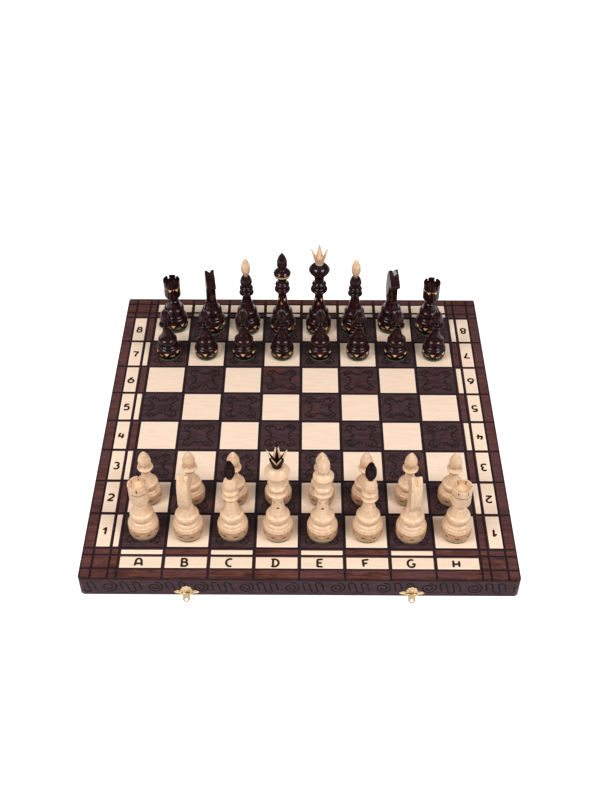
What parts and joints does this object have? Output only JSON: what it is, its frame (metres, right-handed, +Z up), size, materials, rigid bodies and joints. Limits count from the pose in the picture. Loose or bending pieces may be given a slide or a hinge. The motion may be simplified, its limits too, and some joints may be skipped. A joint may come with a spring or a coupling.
{
  "type": "chess set",
  "caption": "Folding wooden chess set: two hinged case halves open into an inlaid board with lettered borders, and turned chessmen stand on their starting squares.",
  "frame": {"origin": "under the centre of the open board, at the level of the table it lies on", "axes": "+X to the right along the ranks from file a to file h, +Y from White to Black, +Z up"},
  "size_m": [0.426, 0.4368, 0.1433],
  "materials": {
    "stained_wood": "red-brown stain under satin varnish",
    "birch_inlay": "pale birch veneer under satin varnish",
    "white_men": "pale birch, clear varnish",
    "black_men": "very dark red-brown stain, gloss varnish",
    "brass": "pressed, bright",
    "felt": "green felt"
  },
  "bodies": {
    "front_half": {"front_panel": "stained_wood", "front_outer_rail": "stained_wood", "front_side_rails": "stained_wood", "front_fold_rail": "stained_wood", "front_light_inlay": "birch_inlay", "front_lining": "felt", "front_hinge_leaves": "brass", "hinge_pins": "brass", "latch_plates": "brass", "latch_pins": "brass", "front_nails": "brass"},
    "back_half": {"back_panel": "stained_wood", "back_outer_rail": "stained_wood", "back_side_rails": "stained_wood", "back_fold_rail": "stained_wood", "back_light_inlay": "birch_inlay", "back_lining": "felt", "back_hinge_leaves": "brass", "catch_plates": "brass", "back_nails": "brass"},
    "left_hasp": {"left_hasp": "brass"},
    "right_hasp": {"right_hasp": "brass"},
    "black_bishop_c8": {"black_bishop_c8": "black_men", "black_bishop_c8_finial": "white_men"},
    "black_bishop_f8": {"black_bishop_f8": "black_men", "black_bishop_f8_finial": "white_men"},
    "black_king_e8": {"black_king_e8": "black_men", "black_king_e8_crown": "white_men"},
    "black_knight_b8": {"black_knight_b8": "black_men"},
    "black_knight_g8": {"black_knight_g8": "black_men"},
    "black_pawn_a7": {"black_pawn_a7": "black_men"},
    "black_pawn_b7": {"black_pawn_b7": "black_men"},
    "black_pawn_c7": {"black_pawn_c7": "black_men"},
    "black_pawn_d7": {"black_pawn_d7": "black_men"},
    "black_pawn_e7": {"black_pawn_e7": "black_men"},
    "black_pawn_f7": {"black_pawn_f7": "black_men"},
    "black_pawn_g7": {"black_pawn_g7": "black_men"},
    "black_pawn_h7": {"black_pawn_h7": "black_men"},
    "black_queen_d8": {"black_queen_d8": "black_men"},
    "black_rook_a8": {"black_rook_a8": "black_men"},
    "black_rook_h8": {"black_rook_h8": "black_men"},
    "white_bishop_c1": {"white_bishop_c1": "white_men", "white_bishop_c1_finial": "black_men"},
    "white_bishop_f1": {"white_bishop_f1": "white_men", "white_bishop_f1_finial": "black_men"},
    "white_king_d1": {"white_king_d1": "white_men", "white_king_d1_crown": "black_men"},
    "white_knight_b1": {"white_knight_b1": "white_men"},
    "white_knight_g1": {"white_knight_g1": "white_men"},
    "white_pawn_a2": {"white_pawn_a2": "white_men"},
    "white_pawn_b2": {"white_pawn_b2": "white_men"},
    "white_pawn_c2": {"white_pawn_c2": "white_men"},
    "white_pawn_d2": {"white_pawn_d2": "white_men"},
    "white_pawn_e2": {"white_pawn_e2": "white_men"},
    "white_pawn_f2": {"white_pawn_f2": "white_men"},
    "white_pawn_g2": {"white_pawn_g2": "white_men"},
    "white_pawn_h2": {"white_pawn_h2": "white_men"},
    "white_queen_e1": {"white_queen_e1": "white_men"},
    "white_rook_a1": {"white_rook_a1": "white_men"},
    "white_rook_h1": {"white_rook_h1": "white_men"}
  },
  "joints": [
    {"name": "fold", "type": "hinge", "parent": "front_half", "child": "back_half", "pos_m": [0, 0, 0.0016], "axis": [-1, 0, 0], "range_deg": [0, 180]},
    {"name": "left_hasp_swing", "type": "hinge", "parent": "front_half", "child": "left_hasp", "pos_m": [-0.109, -0.2142, 0.0051], "axis": [1, 0, 0], "range_deg": [-103, 57]},
    {"name": "right_hasp_swing", "type": "hinge", "parent": "front_half", "child": "right_hasp", "pos_m": [0.109, -0.2142, 0.0051], "axis": [1, 0, 0], "range_deg": [-103, 57]},
    {"name": "black_bishop_c8_lift", "type": "slide", "parent": "back_half", "child": "black_bishop_c8", "axis": [0, 0, 1], "range_m": [0, 0.13]},
    {"name": "black_bishop_f8_lift", "type": "slide", "parent": "back_half", "child": "black_bishop_f8", "axis": [0, 0, 1], "range_m": [0, 0.13]},
    {"name": "black_king_e8_lift", "type": "slide", "parent": "back_half", "child": "black_king_e8", "axis": [0, 0, 1], "range_m": [0, 0.13]},
    {"name": "black_knight_b8_lift", "type": "slide", "parent": "back_half", "child": "black_knight_b8", "axis": [0, 0, 1], "range_m": [0, 0.13]},
    {"name": "black_knight_g8_lift", "type": "slide", "parent": "back_half", "child": "black_knight_g8", "axis": [0, 0, 1], "range_m": [0, 0.13]},
    {"name": "black_pawn_a7_lift", "type": "slide", "parent": "back_half", "child": "black_pawn_a7", "axis": [0, 0, 1], "range_m": [0, 0.13]},
    {"name": "black_pawn_b7_lift", "type": "slide", "parent": "back_half", "child": "black_pawn_b7", "axis": [0, 0, 1], "range_m": [0, 0.13]},
    {"name": "black_pawn_c7_lift", "type": "slide", "parent": "back_half", "child": "black_pawn_c7", "axis": [0, 0, 1], "range_m": [0, 0.13]},
    {"name": "black_pawn_d7_lift", "type": "slide", "parent": "back_half", "child": "black_pawn_d7", "axis": [0, 0, 1], "range_m": [0, 0.13]},
    {"name": "black_pawn_e7_lift", "type": "slide", "parent": "back_half", "child": "black_pawn_e7", "axis": [0, 0, 1], "range_m": [0, 0.13]},
    {"name": "black_pawn_f7_lift", "type": "slide", "parent": "back_half", "child": "black_pawn_f7", "axis": [0, 0, 1], "range_m": [0, 0.13]},
    {"name": "black_pawn_g7_lift", "type": "slide", "parent": "back_half", "child": "black_pawn_g7", "axis": [0, 0, 1], "range_m": [0, 0.13]},
    {"name": "black_pawn_h7_lift", "type": "slide", "parent": "back_half", "child": "black_pawn_h7", "axis": [0, 0, 1], "range_m": [0, 0.13]},
    {"name": "black_queen_d8_lift", "type": "slide", "parent": "back_half", "child": "black_queen_d8", "axis": [0, 0, 1], "range_m": [0, 0.13]},
    {"name": "black_rook_a8_lift", "type": "slide", "parent": "back_half", "child": "black_rook_a8", "axis": [0, 0, 1], "range_m": [0, 0.13]},
    {"name": "black_rook_h8_lift", "type": "slide", "parent": "back_half", "child": "black_rook_h8", "axis": [0, 0, 1], "range_m": [0, 0.13]},
    {"name": "white_bishop_c1_lift", "type": "slide", "parent": "front_half", "child": "white_bishop_c1", "axis": [0, 0, 1], "range_m": [0, 0.13]},
    {"name": "white_bishop_f1_lift", "type": "slide", "parent": "front_half", "child": "white_bishop_f1", "axis": [0, 0, 1], "range_m": [0, 0.13]},
    {"name": "white_king_d1_lift", "type": "slide", "parent": "front_half", "child": "white_king_d1", "axis": [0, 0, 1], "range_m": [0, 0.13]},
    {"name": "white_knight_b1_lift", "type": "slide", "parent": "front_half", "child": "white_knight_b1", "axis": [0, 0, 1], "range_m": [0, 0.13]},
    {"name": "white_knight_g1_lift", "type": "slide", "parent": "front_half", "child": "white_knight_g1", "axis": [0, 0, 1], "range_m": [0, 0.13]},
    {"name": "white_pawn_a2_lift", "type": "slide", "parent": "front_half", "child": "white_pawn_a2", "axis": [0, 0, 1], "range_m": [0, 0.13]},
    {"name": "white_pawn_b2_lift", "type": "slide", "parent": "front_half", "child": "white_pawn_b2", "axis": [0, 0, 1], "range_m": [0, 0.13]},
    {"name": "white_pawn_c2_lift", "type": "slide", "parent": "front_half", "child": "white_pawn_c2", "axis": [0, 0, 1], "range_m": [0, 0.13]},
    {"name": "white_pawn_d2_lift", "type": "slide", "parent": "front_half", "child": "white_pawn_d2", "axis": [0, 0, 1], "range_m": [0, 0.13]},
    {"name": "white_pawn_e2_lift", "type": "slide", "parent": "front_half", "child": "white_pawn_e2", "axis": [0, 0, 1], "range_m": [0, 0.13]},
    {"name": "white_pawn_f2_lift", "type": "slide", "parent": "front_half", "child": "white_pawn_f2", "axis": [0, 0, 1], "range_m": [0, 0.13]},
    {"name": "white_pawn_g2_lift", "type": "slide", "parent": "front_half", "child": "white_pawn_g2", "axis": [0, 0, 1], "range_m": [0, 0.13]},
    {"name": "white_pawn_h2_lift", "type": "slide", "parent": "front_half", "child": "white_pawn_h2", "axis": [0, 0, 1], "range_m": [0, 0.13]},
    {"name": "white_queen_e1_lift", "type": "slide", "parent": "front_half", "child": "white_queen_e1", "axis": [0, 0, 1], "range_m": [0, 0.13]},
    {"name": "white_rook_a1_lift", "type": "slide", "parent": "front_half", "child": "white_rook_a1", "axis": [0, 0, 1], "range_m": [0, 0.13]},
    {"name": "white_rook_h1_lift", "type": "slide", "parent": "front_half", "child": "white_rook_h1", "axis": [0, 0, 1], "range_m": [0, 0.13]}
  ]
}
